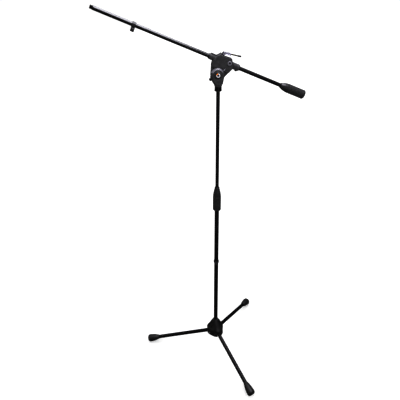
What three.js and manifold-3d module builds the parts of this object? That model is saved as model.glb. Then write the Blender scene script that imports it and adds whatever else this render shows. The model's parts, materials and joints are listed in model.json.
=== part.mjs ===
// A boom microphone stand on a folding tripod, in millimetres, with Z up.
// The pole stands on the Z axis. The boom lies in the XZ plane, its microphone end towards -X.
// The tripod's legs fold down under the hub, the mast slides and turns in the lower tube, and the
// boom tilts on a forked neck, rolls and slides in its clamp, and is held by a small cam lever.

import * as THREE from 'three';
import { mergeVertices } from 'three/addons/utils/BufferGeometryUtils.js';
import Module from 'manifold-3d';

const wasm = await Module();
wasm.setup();

// ---------------------------------------------------------------- driving dimensions

const GAP = 0.3;
const DEGREE = Math.PI / 180;
const ROUND_SIDES = 18;
const FINE_SIDES = 24;
const LONG = 400;

// Tripod
const LEG_COUNT = 3;
const FIRST_LEG_ANGLE = 166.9;
const FOOT_END_RADIUS = 350;
const FOOT_END_Z = 13.5;
const LEG_MEET_Z = 101.8;
const LEG_TUBE_RADIUS = 8.2;
const LEG_TUBE_WALL = 1.2;
const PIN_DISTANCE = 31;
const PIN_RADIUS = 3;
const KNUCKLE_HALF_WIDTH = 7.6;
const FOOT_LENGTH = 57;
const FOOT_RADIUS = 18.2;

// Hub
const HUB_RADIUS = 43.5;
const HUB_BOTTOM_Z = 83;
const HUB_SHOULDER_Z = 119;
const HUB_TOP_Z = 173;
const HUB_SIDES = 36;
const HUB_LOBE_DEPTH = 0.14;
const SLOT_HALF_WIDTH = 8.9;

// Pole
const LOWER_TUBE_RADIUS = 9.4;
const LOWER_TUBE_BORE = 8.2;
const LOWER_TUBE_BOTTOM = 112;
const LOWER_TUBE_TOP = 861;
const UPPER_TUBE_RADIUS = 6.9;
const UPPER_TUBE_BORE = 5.8;
const UPPER_TUBE_BOTTOM = 500;

// Clutch
const CLUTCH_BOTTOM = 813;
const CLUTCH_SHOULDER = 879;
const CLUTCH_TOP = 922;
const CLUTCH_RADIUS = 17;
const CLUTCH_RIBS = 20;

// Neck and tilt pivot
const PIVOT_X = -4;
const PIVOT_Z = 1381.5;
const NECK_BOTTOM_Z = 1321.5;
const NECK_RADIUS = 12.9;
const TUBE_IN_NECK = 14;
const CHEEK_RADIUS = 26;
const CHEEK_INNER = 10.8;
const CHEEK_OUTER = 16;
const CHEEK_CHAMFER = 4.2;
const TILT_BOLT_RADIUS = 4;

// Boom clamp, in the head's own frame: origin on the tilt pivot, X along the boom to the weight
const BOOM_TILT = 23.4;
const BOOM_HEIGHT = 48.5;
const CLAMP_HALF_WIDTH = 13;
const LOBE_RADIUS = 29;
const LOBE_HALF_WIDTH = 9;
const SLEEVE_RADIUS = 10.5;
const SLEEVE_MIC_END = -53;
const SLEEVE_WEIGHT_END = 65;
const CLAMP_BORE = 8.7;
const BOSS_X = 23.5;
const BOSS_Z = 52.5;
const LOBE_CLEAR_Z = 20;

// Boom
const BOOM_RADIUS = 6.9;
const BOOM_BORE = 5.8;
const BOOM_TIP = -476;
const STUD_LENGTH = 11;
const STUD_RADIUS = 4.75;
const BOOM_WEIGHT_END = 340;
const WEIGHT_START = 243;
const WEIGHT_SHOULDER = 275;
const WEIGHT_END = 346;
const WEIGHT_RADIUS = 16.8;
const BOOM_CLIP_X = -329;

// Cable clips
const CLIP_WIDTH = 9;
const CLIP_BAND = 2.2;
const HOOK_BORE = 5.5;
const LOWER_CLIP_Z = 536;
const LOWER_CLIP_ANGLE = -100;

// Cam lever, in the head's frame
const CAM_X = -7;
const CAM_Z = 75;
const CAM_SLOPE = 9;
const LEVER_LENGTH = 25;
const LEVER_HALF_WIDTH = 7.7;
const SHEET = 1.4;
const ROD_RADIUS = 1.7;
const ROD_END = 57;
const ROD_Y = 4.2;
const ROD_Z = 2;

// ---------------------------------------------------------------- materials

function finish(color, roughness, metalness) {
  return { color, roughness, metalness };
}

const POWDER_COAT = finish(0x0b0b0c, 0.32, 0.4);
const CASTING = finish(0x1d1d1f, 0.62, 0.25);
const HARD_PLASTIC = finish(0x131314, 0.5, 0);
const SOFT_GRIP = finish(0x0e0e0e, 0.8, 0);
const BRIGHT_STEEL = finish(0xc9cad0, 0.22, 1);
const DULL_STEEL = finish(0x7c7e82, 0.4, 1);
const BRASS = finish(0xb48a45, 0.35, 1);
const PALE_PLASTIC = finish(0xd8d8d8, 0.45, 0);
const ORANGE_PLASTIC = finish(0xe8791a, 0.45, 0);

// ---------------------------------------------------------------- solids

// Only positions are kept, with shared corners welded and empty triangles left out.
function weld(geometry) {
  const bare = geometry.clone();
  for (const extra of ['normal', 'uv']) bare.deleteAttribute(extra);
  const welded = mergeVertices(bare, 1e-4);
  const corners = welded.index.array;
  const kept = [];
  for (let i = 0; i < corners.length; i += 3) {
    const [a, b, c] = corners.subarray(i, i + 3);
    if (a !== b && b !== c && c !== a) kept.push(a, b, c);
  }
  welded.setIndex(kept);
  return welded;
}

function signedVolume(geometry) {
  const points = geometry.attributes.position;
  const [a, b, c] = [new THREE.Vector3(), new THREE.Vector3(), new THREE.Vector3()];
  let sum = 0;
  for (let i = 0; i < geometry.index.count; i += 3) {
    a.fromBufferAttribute(points, geometry.index.getX(i));
    b.fromBufferAttribute(points, geometry.index.getX(i + 1));
    c.fromBufferAttribute(points, geometry.index.getX(i + 2));
    sum += a.dot(b.cross(c)) / 6;
  }
  return sum;
}

// A profile may be drawn either way round: its faces are turned to point out. Solids that were
// cut or joined carry no normals, and come back welded and facing out already.
function facingOut(geometry) {
  if (!geometry.attributes.normal) return geometry;
  const welded = weld(geometry);
  if (signedVolume(welded) < 0) {
    const corners = Array.from(welded.index.array);
    for (let i = 0; i < corners.length; i += 3) {
      [corners[i], corners[i + 1]] = [corners[i + 1], corners[i]];
    }
    welded.setIndex(corners);
  }
  return welded;
}

function toManifold(geometry) {
  const shape = facingOut(geometry);
  return new wasm.Manifold(new wasm.Mesh({
    numProp: 3,
    vertProperties: new Float32Array(shape.attributes.position.array),
    triVerts: new Uint32Array(shape.index.array),
  }));
}

function toGeometry(manifold) {
  const mesh = manifold.getMesh();
  const geometry = new THREE.BufferGeometry();
  geometry.setAttribute('position', new THREE.BufferAttribute(mesh.vertProperties, 3));
  geometry.setIndex(new THREE.BufferAttribute(mesh.triVerts, 1));
  return geometry;
}

function join(first, ...others) {
  let solid = toManifold(first);
  for (const other of others) solid = solid.add(toManifold(other));
  return toGeometry(solid);
}

function cut(first, ...tools) {
  let solid = toManifold(first);
  for (const tool of tools) solid = solid.subtract(toManifold(tool));
  return toGeometry(solid);
}

function common(first, second) {
  return toGeometry(toManifold(first).intersect(toManifold(second)));
}

// A turned solid about Z from [radius, height] corners, closed on the axis or on itself.
function turned(corners, sides = ROUND_SIDES) {
  const profile = corners.map(([radius, height]) => new THREE.Vector2(radius, height));
  return new THREE.LatheGeometry(profile, sides).rotateX(90 * DEGREE);
}

function rod(radius, from, to, sides = ROUND_SIDES) {
  return turned([[0, from], [radius, from], [radius, to], [0, to]], sides);
}

function pipe(bore, radius, from, to, sides = ROUND_SIDES) {
  return turned([[bore, from], [radius, from], [radius, to], [bore, to], [bore, from]], sides);
}

function alongX(geometry) {
  return geometry.rotateY(90 * DEGREE);
}

// Turns a solid made about Z so that its +Z end points to +Y.
function alongY(geometry) {
  return geometry.rotateX(-90 * DEGREE);
}

function block([x0, y0, z0], [x1, y1, z1]) {
  return new THREE.BoxGeometry(x1 - x0, y1 - y0, z1 - z0)
    .translate((x0 + x1) / 2, (y0 + y1) / 2, (z0 + z1) / 2);
}

// Extrudes an outline drawn in X and Z along Y, from y0 to y1, with small bevelled edges.
function slab(shape, y0, y1, bevel = 0) {
  return new THREE.ExtrudeGeometry(shape, {
    depth: y1 - y0 - 2 * bevel,
    curveSegments: 6,
    bevelEnabled: bevel > 0,
    bevelThickness: bevel,
    bevelSize: bevel,
    bevelOffset: -bevel,
    bevelSegments: 1,
  }).rotateX(90 * DEGREE).translate(0, y1 - bevel, 0);
}

function piece(name, geometry, look) {
  const mesh = new THREE.Mesh(facingOut(geometry), new THREE.MeshStandardMaterial(look));
  mesh.name = name;
  return mesh;
}

function frameAt(x, z, tiltDegrees = 0) {
  const frame = new THREE.Group();
  frame.position.set(x, 0, z);
  frame.rotation.y = tiltDegrees * DEGREE;
  return frame;
}

// ---------------------------------------------------------------- tripod

const LEG_SLOPE = Math.atan((LEG_MEET_Z - FOOT_END_Z) / FOOT_END_RADIUS);
const FOOT_END = FOOT_END_RADIUS / Math.cos(LEG_SLOPE);

// A leg's own frame has its origin where the three leg axes meet, and X running out along the leg.
function legFrame(index) {
  const frame = new THREE.Group();
  frame.rotation.order = 'ZYX';
  frame.rotation.set(0, LEG_SLOPE, (FIRST_LEG_ANGLE - index * 360 / LEG_COUNT) * DEGREE);
  frame.position.z = LEG_MEET_Z;
  return frame;
}

// The space one leg needs in the hub: it swings down from its stop at the slot's roof.
function legSlot(index) {
  const inner = PIN_DISTANCE - LEG_TUBE_RADIUS - 1.2;
  return block([inner, -SLOT_HALF_WIDTH, -LONG / 4], [LONG / 4, SLOT_HALF_WIDTH, SLOT_HALF_WIDTH])
    .applyMatrix4(placed(legFrame(index)));
}

function pinHole(index) {
  const hole = alongY(rod(PIN_RADIUS + GAP, -LONG / 4, LONG / 4, 24)).translate(PIN_DISTANCE, 0, 0);
  return hole.applyMatrix4(placed(legFrame(index)));
}

function placed(frame) {
  frame.updateMatrix();
  return frame.matrix;
}

// The hub is drawn in between its legs, most at the skirt and not at all under the tube.
function lobed(geometry) {
  const points = geometry.attributes.position;
  for (let i = 0; i < points.count; i += 1) {
    const [x, y, z] = [points.getX(i), points.getY(i), points.getZ(i)];
    const turn = LEG_COUNT * (Math.atan2(y, x) - FIRST_LEG_ANGLE * DEGREE);
    const fade = THREE.MathUtils.clamp((HUB_TOP_Z - 13 - z) / (HUB_TOP_Z - 13 - HUB_SHOULDER_Z), 0, 1);
    const scale = 1 - HUB_LOBE_DEPTH * fade * (1 - Math.cos(turn)) / 2;
    points.setXY(i, x * scale, y * scale);
  }
  return geometry;
}

function hubDome() {
  const skirtRound = 3;
  const dome = lobed(turned([
    [0, HUB_BOTTOM_Z],
    [HUB_RADIUS - skirtRound, HUB_BOTTOM_Z],
    [HUB_RADIUS, HUB_BOTTOM_Z + skirtRound],
    [HUB_RADIUS, HUB_SHOULDER_Z - 1],
    [HUB_RADIUS - 1.5, HUB_SHOULDER_Z + 3],
    [39.5, 125.5],
    [35, 131.5],
    [31, 139],
    [27, 147.5],
    [20, 159.5],
    [13.5, 170],
    [11.5, HUB_TOP_Z],
    [0, HUB_TOP_Z],
  ], HUB_SIDES));
  const boltBore = rod(5, HUB_BOTTOM_Z - 1, LOWER_TUBE_BOTTOM + 1);
  const boltPocket = rod(11.3, HUB_BOTTOM_Z - 1, HUB_BOTTOM_Z + 6);
  const tubeBore = rod(LOWER_TUBE_RADIUS + GAP, LOWER_TUBE_BOTTOM - GAP, HUB_TOP_Z + 1);
  const legCuts = [];
  for (let index = 0; index < LEG_COUNT; index += 1) legCuts.push(legSlot(index), pinHole(index));
  return cut(dome, boltBore, boltPocket, tubeBore, ...legCuts);
}

// The pin runs through the hub and the knuckle, and ends level with the skirt on either side.
function hingePin() {
  const halfLength = 23.5;
  return alongY(turned([
    [0, -halfLength],
    [PIN_RADIUS, -halfLength],
    [PIN_RADIUS, halfLength - 1],
    [PIN_RADIUS - 1, halfLength],
    [0, halfLength],
  ], 20)).translate(PIN_DISTANCE, 0, 0);
}

function legKnuckle() {
  const eye = alongY(rod(LEG_TUBE_RADIUS, -KNUCKLE_HALF_WIDTH, KNUCKLE_HALF_WIDTH));
  const stem = alongX(rod(LEG_TUBE_RADIUS - LEG_TUBE_WALL - GAP, 0, 46, 24));
  const collar = alongX(rod(LEG_TUBE_RADIUS - 0.4, 0, LEG_TUBE_RADIUS + 1.5));
  const flats = block([0, -KNUCKLE_HALF_WIDTH, -20], [20, KNUCKLE_HALF_WIDTH, 20]);
  const bore = alongY(rod(PIN_RADIUS + GAP, -LONG / 8, LONG / 8, 24));
  return cut(join(eye, common(collar, flats), stem), bore).translate(PIN_DISTANCE, 0, 0);
}

function legTube() {
  return alongX(pipe(
    LEG_TUBE_RADIUS - LEG_TUBE_WALL, LEG_TUBE_RADIUS, PIN_DISTANCE + LEG_TUBE_RADIUS + 1.8, FOOT_END - 12));
}

// A flared rubber boot over the tube's end, flat where it stands on the floor.
function legFoot() {
  const start = FOOT_END - FOOT_LENGTH;
  const boot = alongX(turned([
    [0, FOOT_END - 12 + GAP],
    [LEG_TUBE_RADIUS + GAP, FOOT_END - 12 + GAP],
    [LEG_TUBE_RADIUS + GAP, start],
    [LEG_TUBE_RADIUS + 1.6, start],
    [12.4, start + 9],
    [15.4, start + 21],
    [17.4, start + 35],
    [FOOT_RADIUS, start + 45],
    [FOOT_RADIUS - 0.4, start + 51],
    [FOOT_RADIUS - 3.2, FOOT_END],
    [0, FOOT_END],
  ], FINE_SIDES));
  const floor = block([-LONG, -LONG, -LONG], [LONG, LONG, 0])
    .translate(0, 0, -LEG_MEET_Z)
    .rotateY(-LEG_SLOPE);
  return cut(boot, floor);
}

function tripod(stand) {
  stand.add(piece('hub_dome', hubDome(), CASTING));
  const plugBore = LOWER_TUBE_BORE - GAP;
  const plug = cut(
    rod(plugBore, LOWER_TUBE_BOTTOM + GAP, LOWER_TUBE_BOTTOM + 26),
    rod(4.3, LOWER_TUBE_BOTTOM - 1, LOWER_TUBE_BOTTOM + 18));
  stand.add(piece('tube_plug', plug, HARD_PLASTIC));
  const bolt = join(
    rod(8, HUB_BOTTOM_Z + 1, HUB_BOTTOM_Z + 4.2, 6),
    rod(4, HUB_BOTTOM_Z + 2, LOWER_TUBE_BOTTOM + 16));
  stand.add(piece('hub_bolt', bolt, DULL_STEEL));
  const washer = pipe(4 + GAP, 11, HUB_BOTTOM_Z + 4.5, HUB_BOTTOM_Z + 5.7);
  stand.add(piece('hub_washer', washer, DULL_STEEL));
  for (let index = 0; index < LEG_COUNT; index += 1) {
    const frame = legFrame(index);
    const label = index + 1;
    frame.add(piece(`hinge_pin_${label}`, hingePin(), DULL_STEEL));
    frame.add(piece(`leg_knuckle_${label}`, legKnuckle(), CASTING));
    frame.add(piece(`leg_tube_${label}`, legTube(), POWDER_COAT));
    frame.add(piece(`leg_foot_${label}`, legFoot(), SOFT_GRIP));
    stand.add(frame);
  }
}

// ---------------------------------------------------------------- cable clips

// A band around a tube of the given radius, with an open hook below it for the cable.
function cableClip(tubeRadius) {
  const bandRadius = tubeRadius + GAP + CLIP_BAND;
  const hookRadius = HOOK_BORE + CLIP_BAND;
  const hookX = bandRadius + HOOK_BORE + 0.4;
  const half = CLIP_WIDTH / 2;
  const band = rod(bandRadius, -half, half);
  const hook = rod(hookRadius, -half, half).translate(hookX, 0, 0);
  const bore = rod(tubeRadius + GAP, -half - 1, half + 1);
  const hookBore = rod(HOOK_BORE, -half - 1, half + 1, 24).translate(hookX, 0, 0);
  const mouth = block([hookX - 2.2, 0, -half - 1], [hookX + 3.2, LONG / 8, half + 1]);
  return cut(join(band, hook), bore, hookBore, mouth);
}

// ---------------------------------------------------------------- pole

function ribbedSleeve(radius, from, to, ribs, bore, roundBelow) {
  const ribDepth = 0.8;
  const outline = new THREE.Shape();
  const stepsPerRib = 3;
  for (let step = 0; step < ribs * stepsPerRib; step += 1) {
    const angle = step / (ribs * stepsPerRib) * 360 * DEGREE;
    const wave = radius - ribDepth * (step % stepsPerRib === 0 ? 1 : 0);
    const corner = [wave * Math.cos(angle), wave * Math.sin(angle)];
    if (step === 0) outline.moveTo(...corner);
    else outline.lineTo(...corner);
  }
  const ribbed = new THREE.ExtrudeGeometry(outline, { depth: to - from, bevelEnabled: false });
  const rounded = turned([
    [0, from], [radius - roundBelow, from], [radius - roundBelow * 0.3, from + roundBelow * 0.3],
    [radius, from + roundBelow], [radius, to], [0, to],
  ], FINE_SIDES);
  return cut(common(ribbed.translate(0, 0, from), rounded), rod(bore, from - 1, to + 1));
}

function clutch(stand) {
  const seatTop = LOWER_TUBE_TOP + 4;
  const seat = turned([
    [LOWER_TUBE_RADIUS + GAP, CLUTCH_BOTTOM + 3],
    [12.4, CLUTCH_BOTTOM + 3],
    [12.4, seatTop],
    [7.6, seatTop],
    [7.6, LOWER_TUBE_TOP + GAP],
    [LOWER_TUBE_RADIUS + GAP, LOWER_TUBE_TOP + GAP],
    [LOWER_TUBE_RADIUS + GAP, CLUTCH_BOTTOM + 3],
  ]);
  stand.add(piece('clutch_seat', seat, HARD_PLASTIC));
  const collet = turned([
    [7.3, seatTop + GAP],
    [12, seatTop + GAP],
    [12, seatTop + 10],
    [9, seatTop + 26],
    [7.3, seatTop + 26],
    [7.3, seatTop + GAP],
  ]);
  stand.add(piece('clutch_collet', collet, BRASS));
  const grip = ribbedSleeve(CLUTCH_RADIUS, CLUTCH_BOTTOM, CLUTCH_SHOULDER, CLUTCH_RIBS, 12.7, 3);
  stand.add(piece('clutch_grip', grip, SOFT_GRIP));
  const nose = turned([
    [12.7, CLUTCH_SHOULDER + GAP],
    [CLUTCH_RADIUS - 0.6, CLUTCH_SHOULDER + GAP],
    [CLUTCH_RADIUS - 0.9, CLUTCH_SHOULDER + 6],
    [15, CLUTCH_SHOULDER + 16],
    [12.6, CLUTCH_SHOULDER + 28],
    [10, CLUTCH_SHOULDER + 38],
    [8.7, CLUTCH_TOP],
    [7.3, CLUTCH_TOP],
    [7.3, CLUTCH_SHOULDER + 20],
    [12.7, CLUTCH_SHOULDER + 4],
    [12.7, CLUTCH_SHOULDER + GAP],
  ], FINE_SIDES);
  stand.add(piece('clutch_nose', nose, HARD_PLASTIC));
}

function pole(stand) {
  const lower = pipe(LOWER_TUBE_BORE, LOWER_TUBE_RADIUS, LOWER_TUBE_BOTTOM, LOWER_TUBE_TOP);
  stand.add(piece('lower_tube', lower, POWDER_COAT));
  const clip = cableClip(LOWER_TUBE_RADIUS)
    .rotateZ(LOWER_CLIP_ANGLE * DEGREE).translate(0, 0, LOWER_CLIP_Z);
  stand.add(piece('lower_cable_clip', clip, HARD_PLASTIC));
  const guideRadius = LOWER_TUBE_BORE - GAP;
  const guide = pipe(4.2, guideRadius, UPPER_TUBE_BOTTOM - 8, UPPER_TUBE_BOTTOM - GAP);
  stand.add(piece('mast_guide', guide, PALE_PLASTIC));
  const top = NECK_BOTTOM_Z + TUBE_IN_NECK;
  const upper = pipe(UPPER_TUBE_BORE, UPPER_TUBE_RADIUS, UPPER_TUBE_BOTTOM, top);
  stand.add(piece('upper_tube', upper, POWDER_COAT));
}

// ---------------------------------------------------------------- neck with its tilt pivot

// A cheek's outline about the pivot: round above, tapering down to the neck's width.
function cheekOutline() {
  const neckTopZ = -48;
  const turnOff = 28 * DEGREE;
  const outline = new THREE.Shape();
  outline.absarc(0, 0, CHEEK_RADIUS, -turnOff, 180 * DEGREE + turnOff, false);
  outline.lineTo(-NECK_RADIUS - PIVOT_X, neckTopZ);
  outline.lineTo(NECK_RADIUS - PIVOT_X, neckTopZ);
  outline.closePath();
  return outline;
}

function neckYoke() {
  const bottom = NECK_BOTTOM_Z - PIVOT_Z;
  const barrel = turned([
    [0, bottom],
    [NECK_RADIUS - 0.6, bottom],
    [NECK_RADIUS + 0.3, bottom + 1.2],
    [NECK_RADIUS + 0.3, bottom + 5],
    [NECK_RADIUS, bottom + 7],
    [NECK_RADIUS, -26],
    [0, -26],
  ]).translate(-PIVOT_X, 0, 0);
  const cheeks = slab(cheekOutline(), -CHEEK_OUTER, CHEEK_OUTER, CHEEK_CHAMFER);
  const throatRadius = LOBE_RADIUS + 0.8;
  const throat = alongY(rod(throatRadius, -CHEEK_INNER, CHEEK_INNER, FINE_SIDES));
  // Lets the straight side of the clamp's lobe swing down between the cheeks.
  const lobeRelief = block([0, -CHEEK_INNER, -throatRadius + 0.3], [LONG / 8, CHEEK_INNER, 0]);
  const tubeBore = rod(UPPER_TUBE_RADIUS + GAP, bottom - 1, bottom + TUBE_IN_NECK + GAP)
    .translate(-PIVOT_X, 0, 0);
  const pivotBore = alongY(rod(TILT_BOLT_RADIUS + GAP, -LONG / 8, LONG / 8, 24));
  const outsideFunnel = turned([
    [NECK_RADIUS, -44], [14.5, -38], [19, -31], [30, -19], [LONG / 8, -19], [LONG / 8, -60],
    [NECK_RADIUS, -60], [NECK_RADIUS, -44],
  ]).translate(-PIVOT_X, 0, 0);
  return cut(join(cut(cheeks, outsideFunnel), barrel), throat, lobeRelief, tubeBore, pivotBore);
}

function ringSector(inner, outer, fromDegrees, toDegrees) {
  const outline = new THREE.Shape();
  outline.absarc(0, 0, outer, fromDegrees * DEGREE, toDegrees * DEGREE, false);
  outline.absarc(0, 0, inner, toDegrees * DEGREE, fromDegrees * DEGREE, true);
  outline.closePath();
  return outline;
}

function tiltPivot(frame) {
  const lobeFace = LOBE_HALF_WIDTH + GAP;
  for (const [name, side] of [['front_friction_washer', -1], ['rear_friction_washer', 1]]) {
    const inner = side * lobeFace;
    const outer = side * (CHEEK_INNER - GAP);
    const washer = pipe(TILT_BOLT_RADIUS + GAP, 22, Math.min(inner, outer), Math.max(inner, outer));
    frame.add(piece(name, alongY(washer), PALE_PLASTIC));
  }
  const capFront = -CHEEK_OUTER - GAP;
  const cap = turned([
    [TILT_BOLT_RADIUS + GAP, -capFront],
    [12, -capFront],
    [12, -capFront + 1],
    [10.8, -capFront + 2],
    [TILT_BOLT_RADIUS + GAP, -capFront + 2],
    [TILT_BOLT_RADIUS + GAP, -capFront],
  ]).rotateX(90 * DEGREE);
  frame.add(piece('pivot_cap', cap, HARD_PLASTIC));
  const headBack = -capFront + 2 + GAP;
  const boltHead = 4.6;
  const bolt = turned([
    [0, -33],
    [TILT_BOLT_RADIUS, -33],
    [TILT_BOLT_RADIUS, headBack],
    [boltHead, headBack],
    [boltHead, headBack + 1.2],
    [boltHead - 1, headBack + 2],
    [2.2, headBack + 2],
    [2.2, headBack + 0.8],
    [0, headBack + 0.8],
  ]).rotateX(90 * DEGREE);
  frame.add(piece('pivot_bolt', bolt, DULL_STEEL));
  const ringInner = boltHead + GAP;
  const ringOuter = 7.4;
  const ring = ringSector(ringInner, ringOuter, 172, 448);
  frame.add(piece('pivot_ring', slab(ring, -headBack - 1.2, -headBack), PALE_PLASTIC));
  const mark = ringSector(ringInner, ringOuter, 94, 166);
  frame.add(piece('index_mark', slab(mark, -headBack - 1.2, -headBack), ORANGE_PLASTIC));
}

// The T-shaped handle behind the neck draws the pivot tight.
function tiltHandle() {
  const barAngle = 52;
  const barHalfLength = 30;
  const barY = 29;
  const nut = alongY(turned([
    [TILT_BOLT_RADIUS + GAP, CHEEK_OUTER + GAP],
    [9.5, CHEEK_OUTER + GAP],
    [9.5, CHEEK_OUTER + 6],
    [8, 35],
    [TILT_BOLT_RADIUS + GAP, 35],
    [TILT_BOLT_RADIUS + GAP, CHEEK_OUTER + GAP],
  ]));
  const bar = alongX(rod(4, -barHalfLength, barHalfLength, 12));
  const ends = [-barHalfLength, barHalfLength].map(
    (x) => new THREE.SphereGeometry(6, 12, 8).translate(x, 0, 0));
  const crossbar = join(bar, ...ends).rotateY(-barAngle * DEGREE).translate(0, barY, 0);
  const boltSpace = alongY(rod(TILT_BOLT_RADIUS + GAP, 0, 34));
  return cut(join(nut, crossbar), boltSpace);
}

function neck(stand) {
  const frame = frameAt(PIVOT_X, PIVOT_Z);
  frame.add(piece('neck_yoke', neckYoke(), CASTING));
  tiltPivot(frame);
  frame.add(piece('tilt_handle', tiltHandle(), HARD_PLASTIC));
  stand.add(frame);
}

// ---------------------------------------------------------------- boom clamp

// The clamp's shield outline: a round lobe about the pivot, widening up to the boom sleeves.
function clampOutline() {
  const outline = new THREE.Shape();
  outline.absarc(0, 0, LOBE_RADIUS, 197 * DEGREE, 343 * DEGREE, false);
  outline.lineTo(42.5, 39);
  outline.lineTo(40, 56);
  outline.lineTo(31.5, 62);
  outline.lineTo(26.5, 69.2);
  outline.lineTo(24, 70.2);
  outline.lineTo(0, 68.3);
  outline.lineTo(-19, 68.3);
  outline.lineTo(-28, 61);
  outline.lineTo(-36, 42);
  outline.quadraticCurveTo(-26.5, 33, -25.5, 22);
  outline.closePath();
  return outline;
}

// The tooth behind the cam lever.
function toothOutline() {
  const outline = new THREE.Shape();
  outline.moveTo(-26, 60);
  outline.lineTo(-14, 60);
  outline.lineTo(-14, 73);
  outline.lineTo(-17.5, 73);
  outline.lineTo(-26, 62.5);
  outline.closePath();
  return outline;
}

function clampBody() {
  const shield = slab(clampOutline(), -CLAMP_HALF_WIDTH, CLAMP_HALF_WIDTH, 2.5);
  const collarRadius = SLEEVE_RADIUS + 1.3;
  const sleeve = alongX(turned([
    [0, SLEEVE_MIC_END],
    [SLEEVE_RADIUS - 1.6, SLEEVE_MIC_END],
    [SLEEVE_RADIUS, SLEEVE_MIC_END + 3.5],
    [SLEEVE_RADIUS, SLEEVE_WEIGHT_END - 31],
    [collarRadius, SLEEVE_WEIGHT_END - 29.5],
    [collarRadius, SLEEVE_WEIGHT_END - 1],
    [SLEEVE_RADIUS, SLEEVE_WEIGHT_END],
    [0, SLEEVE_WEIGHT_END],
  ])).translate(0, 0, BOOM_HEIGHT);
  const ribFrom = SLEEVE_MIC_END + 3;
  const ribTop = BOOM_HEIGHT + SLEEVE_RADIUS + 2.4;
  const rib = block([ribFrom, -5.5, BOOM_HEIGHT], [ribFrom + 26, 5.5, ribTop]);
  const tooth = slab(toothOutline(), -9, 9, 0.8);
  const lug = join(
    block([CAM_X - 3.8, -5.8, BOOM_HEIGHT + 10], [CAM_X + 3.8, 5.8, CAM_Z]),
    alongY(rod(3.8, -5.8, 5.8, 24)).translate(CAM_X, 0, CAM_Z));
  const atBoss = (shape) => alongY(shape).translate(BOSS_X, 0, BOSS_Z);
  const boss = atBoss(rod(7.6, -CLAMP_HALF_WIDTH - 2.2, -CLAMP_HALF_WIDTH + 2));
  const boomBore = alongX(rod(CLAMP_BORE, -LONG / 4, LONG / 4)).translate(0, 0, BOOM_HEIGHT);
  const bossBore = atBoss(rod(4.4, -LONG / 8, -CLAMP_HALF_WIDTH + 1, 24));
  const screwBore = atBoss(rod(2.3, -LONG / 8, -SLEEVE_RADIUS + 2.5, 20));
  const camPinBore = alongY(rod(1.8, -LONG / 8, LONG / 8, 20)).translate(CAM_X, 0, CAM_Z);
  const shoeSlot = block([CAM_X - 2.3, -2.9, BOOM_HEIGHT], [CAM_X + 2.3, 2.9, CAM_Z - 5.5]);
  const pivotBore = alongY(rod(TILT_BOLT_RADIUS + GAP, -LONG / 8, LONG / 8, 24));
  const cheekSpaces = [[LOBE_HALF_WIDTH, LONG / 8], [-LONG / 8, -LOBE_HALF_WIDTH]]
    .map(([from, to]) => alongY(rod(CHEEK_RADIUS + 1.2, from, to, FINE_SIDES)));
  const outsideCheeks = alongY(pipe(CHEEK_RADIUS, LONG / 8, -LONG / 8, LONG / 8, FINE_SIDES));
  const low = block([-LONG / 8, -LONG / 8, -LONG / 8], [LONG / 8, LONG / 8, LOBE_CLEAR_Z]);
  const lobeSpan = block([-LONG, -LOBE_HALF_WIDTH, -LONG], [LONG, LOBE_HALF_WIDTH, LONG]);
  return cut(
    join(shield, sleeve, rib, tooth, lug, boss),
    boomBore, bossBore, screwBore, camPinBore, shoeSlot, pivotBore, ...cheekSpaces,
    common(outsideCheeks, cut(low, lobeSpan)));
}

function boomBush(from, to, flangeAt) {
  const bush = pipe(BOOM_RADIUS + GAP, CLAMP_BORE - GAP, from, to);
  const flangeFrom = flangeAt < 0 ? from - 1.5 : to;
  const flange = pipe(BOOM_RADIUS + GAP, SLEEVE_RADIUS - 1, flangeFrom, flangeFrom + 1.5);
  return alongX(join(bush, flange)).translate(0, 0, BOOM_HEIGHT);
}

function boomClamp(head) {
  head.add(piece('clamp_body', clampBody(), CASTING));
  const micBush = boomBush(SLEEVE_MIC_END - GAP, SLEEVE_MIC_END + 24, -1);
  head.add(piece('mic_side_bush', micBush, HARD_PLASTIC));
  const weightBush = boomBush(SLEEVE_WEIGHT_END - 24, SLEEVE_WEIGHT_END + GAP, 1);
  head.add(piece('weight_side_bush', weightBush, HARD_PLASTIC));
  const shoe = block(
    [CAM_X - 2, -2.6, BOOM_HEIGHT + BOOM_RADIUS + GAP], [CAM_X + 2, 2.6, CAM_Z - 6]);
  head.add(piece('clamp_shoe', shoe, HARD_PLASTIC));
  const screw = alongY(join(
    rod(4, -CLAMP_HALF_WIDTH - 1.4, -CLAMP_HALF_WIDTH + 0.6, 24),
    rod(2, -CLAMP_HALF_WIDTH, -9, 20)));
  const socket = alongY(rod(1.9, -LONG / 8, -CLAMP_HALF_WIDTH + 0.2, 6));
  head.add(piece('clamp_screw', cut(screw, socket).translate(BOSS_X, 0, BOSS_Z), DULL_STEEL));
  const pointerFront = -CHEEK_OUTER - 0.6;
  const pointerHalf = 2.2;
  const pointerFoot = CHEEK_RADIUS + 1.8;
  const pointer = join(
    block([pointerFoot, pointerFront, -pointerHalf], [34.5, -CLAMP_HALF_WIDTH - GAP, pointerHalf]),
    block([pointerFoot - 3.4, pointerFront, -pointerHalf],
      [pointerFoot + 0.2, pointerFront + 1.2, pointerHalf]));
  head.add(piece('tilt_pointer', pointer.rotateY(-61 * DEGREE), BRIGHT_STEEL));
}

// ---------------------------------------------------------------- cam lever

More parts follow.
